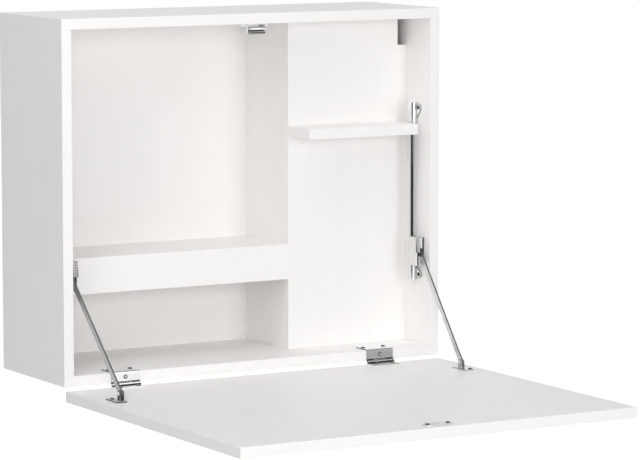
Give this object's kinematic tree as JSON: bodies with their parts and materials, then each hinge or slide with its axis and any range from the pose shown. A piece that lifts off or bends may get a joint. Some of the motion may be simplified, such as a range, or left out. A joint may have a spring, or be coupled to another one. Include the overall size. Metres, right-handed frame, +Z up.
{
  "type": "fold down wall desk",
  "caption": "White wall cabinet whose front folds down on hinges into a desk top, held level by an arm, slider and guide rod at each side.",
  "frame": {"origin": "centre of the four wall fixings on the wall plane, half way up the cabinet", "axes": "+X to the right along the wall, +Y into the wall, +Z up; the flap points along -Y when open"},
  "size_m": [0.61, 0.705, 0.5297],
  "materials": {
    "white_board": "smooth white foil over board",
    "white_hardboard": "white painted hardboard",
    "beech": "bare",
    "dark_screw": "dark plated",
    "zinc": "bright zinc",
    "white_plastic": "moulded",
    "magnet": "sintered",
    "pole_steel": "plain",
    "satin_steel": "satin nickel",
    "chrome": "polished",
    "arm_steel": "satin nickel",
    "grey_plastic": "moulded",
    "dark_rubber": "plain"
  },
  "bodies": {
    "cabinet": {"top_panel": "white_board", "bottom_panel": "white_board", "left_side": "white_board", "right_side": "white_board", "divider": "white_board", "compartment_shelf": "white_board", "shelf_apron": "white_board", "cover_panel": "white_board", "small_shelf": "white_board", "back_panel": "white_hardboard", "wood_dowels": "beech", "hinge_plate_screws": "dark_screw", "rod_bracket_screws": "dark_screw", "connecting_screws": "zinc", "cam_bolts": "zinc", "cam_housings": "zinc", "hanger_plates": "zinc", "hanger_screws": "zinc", "corner_block_screws": "zinc", "small_shelf_screws": "zinc", "catch_screws": "zinc", "catch_body": "white_plastic", "corner_blocks": "white_plastic", "catch_magnet": "magnet", "catch_pole_plates": "pole_steel", "hinge_plate_left": "satin_steel", "hinge_plate_right": "satin_steel", "hinge_pin_left": "satin_steel", "hinge_pin_right": "satin_steel", "guide_rod_left": "chrome", "guide_rod_right": "chrome", "rod_upper_bracket_left": "chrome", "rod_upper_bracket_right": "chrome", "rod_lower_bracket_left": "chrome", "rod_lower_bracket_right": "chrome"},
    "flap": {"flap_panel": "white_board", "hinge_leaf_left": "satin_steel", "hinge_leaf_right": "satin_steel", "hinge_leaf_screws": "dark_screw", "strike_plate": "zinc", "strike_screws": "dark_screw", "stay_bracket_left": "chrome", "stay_bracket_right": "chrome", "stay_pin_left": "chrome", "stay_pin_right": "chrome", "stay_bracket_screws": "dark_screw"},
    "slider_left": {"slider_housing_left": "grey_plastic", "brake_insert_left": "dark_rubber"},
    "arm_left": {"stay_arm_left": "arm_steel", "arm_bush_left": "arm_steel"},
    "slider_right": {"slider_housing_right": "grey_plastic", "brake_insert_right": "dark_rubber"},
    "arm_right": {"stay_arm_right": "arm_steel", "arm_bush_right": "arm_steel"}
  },
  "joints": [
    {"name": "flap_fold", "type": "hinge", "parent": "cabinet", "child": "flap", "pos_m": [0, -0.203, -0.2567], "axis": [-1, 0, 0], "range_deg": [0, 90]},
    {"name": "slider_left_slide", "type": "slide", "parent": "cabinet", "child": "slider_left", "axis": [0, 0, 1], "range_m": [0, 0.15149]},
    {"name": "arm_left_pivot", "type": "hinge", "parent": "flap", "child": "arm_left", "pos_m": [-0.2743, -0.3117, -0.2495], "axis": [1, 0, 0], "range_deg": [0, 127.45]},
    {"name": "slider_right_slide", "type": "slide", "parent": "cabinet", "child": "slider_right", "axis": [0, 0, 1], "range_m": [0, 0.15149]},
    {"name": "arm_right_pivot", "type": "hinge", "parent": "flap", "child": "arm_right", "pos_m": [0.2743, -0.3117, -0.2495], "axis": [1, 0, 0], "range_deg": [0, 127.45]}
  ],
  "couplings": [
    {"joint": "slider_left_slide", "follows": "flap_fold", "m_per_rad": 0.09644},
    {"joint": "arm_left_pivot", "follows": "flap_fold", "ratio": 1.416},
    {"joint": "slider_right_slide", "follows": "flap_fold", "m_per_rad": 0.09644},
    {"joint": "arm_right_pivot", "follows": "flap_fold", "ratio": 1.416}
  ]
}
